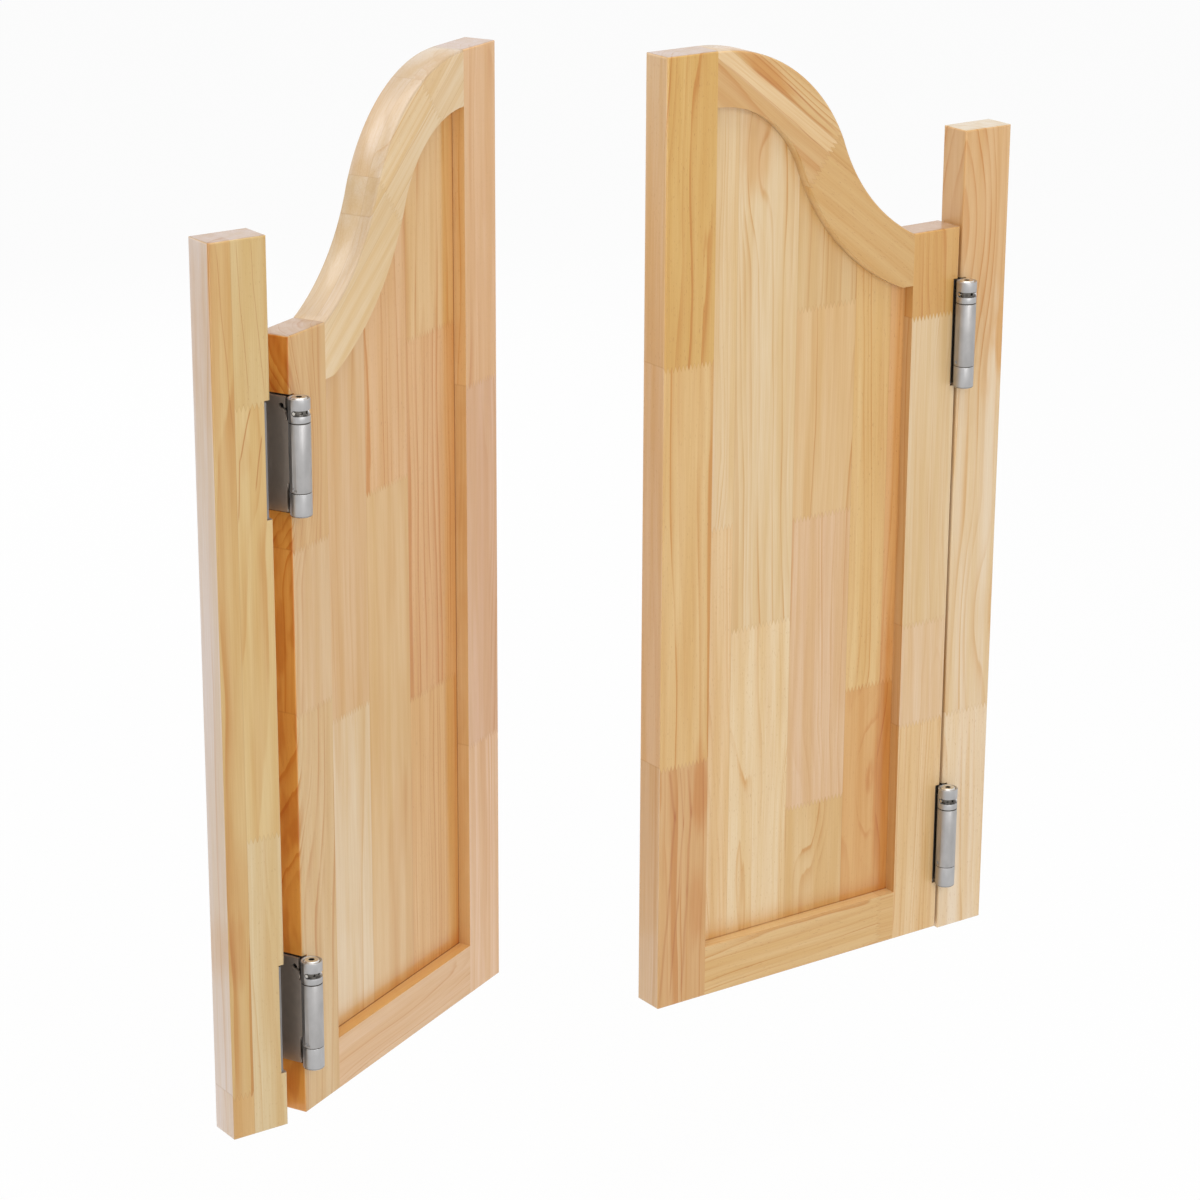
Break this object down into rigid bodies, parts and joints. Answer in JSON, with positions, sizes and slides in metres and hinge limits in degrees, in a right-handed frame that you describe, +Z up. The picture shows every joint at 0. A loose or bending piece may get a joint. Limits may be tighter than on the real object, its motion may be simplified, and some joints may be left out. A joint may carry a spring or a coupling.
{
  "type": "cafe swinging doors",
  "caption": "Pair of short saloon-style pine doors with swept tops, each hung from a wall post on double-action spring hinges so it swings both ways and returns.",
  "frame": {"origin": "middle of the left post's outer face, where the post is fixed to the wall", "axes": "+X along the doorway from the left post to the right post, +Y through the doorway away from the front face, +Z up"},
  "size_m": [0.855, 0.2015, 0.903],
  "materials": {
    "pine_frame": "clear satin lacquer on finger-jointed pine",
    "pine_panel": "clear satin lacquer on edge-glued pine staves",
    "beech_dowel": "bare",
    "hinge_steel": "satin stainless sheet",
    "turned_steel": "bright turned",
    "spring_steel": "oiled wire",
    "screw_steel": "satin",
    "washer_bronze": "oiled bronze"
  },
  "bodies": {
    "root": {"left_post": "pine_frame", "left_upper_post_flange": "hinge_steel", "left_lower_post_flange": "hinge_steel", "left_upper_post_spindle": "turned_steel", "left_lower_post_spindle": "turned_steel", "left_upper_post_adjuster": "turned_steel", "left_lower_post_adjuster": "turned_steel", "left_upper_post_spring": "spring_steel", "left_lower_post_spring": "spring_steel", "left_post_screws": "screw_steel", "left_post_stop_pins": "turned_steel", "right_post": "pine_frame", "right_upper_post_flange": "hinge_steel", "right_lower_post_flange": "hinge_steel", "right_upper_post_spindle": "turned_steel", "right_lower_post_spindle": "turned_steel", "right_upper_post_adjuster": "turned_steel", "right_lower_post_adjuster": "turned_steel", "right_upper_post_spring": "spring_steel", "right_lower_post_spring": "spring_steel", "right_post_screws": "screw_steel", "right_post_stop_pins": "turned_steel"},
    "left_link": {"left_upper_link": "hinge_steel", "left_lower_link": "hinge_steel", "left_link_washers": "washer_bronze"},
    "left_leaf": {"left_free_stile": "pine_frame", "left_hinge_stile": "pine_frame", "left_top_rail": "pine_frame", "left_bottom_rail": "pine_frame", "left_panel": "pine_panel", "left_leaf_dowels": "beech_dowel", "left_upper_door_flange": "hinge_steel", "left_lower_door_flange": "hinge_steel", "left_upper_door_spindle": "turned_steel", "left_lower_door_spindle": "turned_steel", "left_upper_door_adjuster": "turned_steel", "left_lower_door_adjuster": "turned_steel", "left_upper_door_spring": "spring_steel", "left_lower_door_spring": "spring_steel", "left_leaf_screws": "screw_steel", "left_leaf_stop_pins": "turned_steel"},
    "right_link": {"right_upper_link": "hinge_steel", "right_lower_link": "hinge_steel", "right_link_washers": "washer_bronze"},
    "right_leaf": {"right_free_stile": "pine_frame", "right_hinge_stile": "pine_frame", "right_top_rail": "pine_frame", "right_bottom_rail": "pine_frame", "right_panel": "pine_panel", "right_leaf_dowels": "beech_dowel", "right_upper_door_flange": "hinge_steel", "right_lower_door_flange": "hinge_steel", "right_upper_door_spindle": "turned_steel", "right_lower_door_spindle": "turned_steel", "right_upper_door_adjuster": "turned_steel", "right_lower_door_adjuster": "turned_steel", "right_upper_door_spring": "spring_steel", "right_lower_door_spring": "spring_steel", "right_leaf_screws": "screw_steel", "right_leaf_stop_pins": "turned_steel"}
  },
  "joints": [
    {"name": "left_link_swing", "type": "hinge", "parent": "root", "child": "left_link", "pos_m": [0.0565, 0.026, 0.002], "axis": [0, 0, 1], "range_deg": [-26, 64], "stiffness_Nm_per_rad": 1, "springref_deg": -54.43},
    {"name": "left_door_swing", "type": "hinge", "parent": "left_link", "child": "left_leaf", "pos_m": [0.0793, -0.02074, 0.002], "axis": [0, 0, 1], "range_deg": [-90, 0], "stiffness_Nm_per_rad": 1, "springref_deg": 28.65},
    {"name": "right_link_swing", "type": "hinge", "parent": "root", "child": "right_link", "pos_m": [0.7985, -0.026, 0.002], "axis": [0, 0, 1], "range_deg": [0, 90], "stiffness_Nm_per_rad": 1, "springref_deg": -28.65},
    {"name": "right_door_swing", "type": "hinge", "parent": "right_link", "child": "right_leaf", "pos_m": [0.7985, 0.026, 0.002], "axis": [0, 0, 1], "range_deg": [-90, 0], "stiffness_Nm_per_rad": 1, "springref_deg": 28.65}
  ]
}
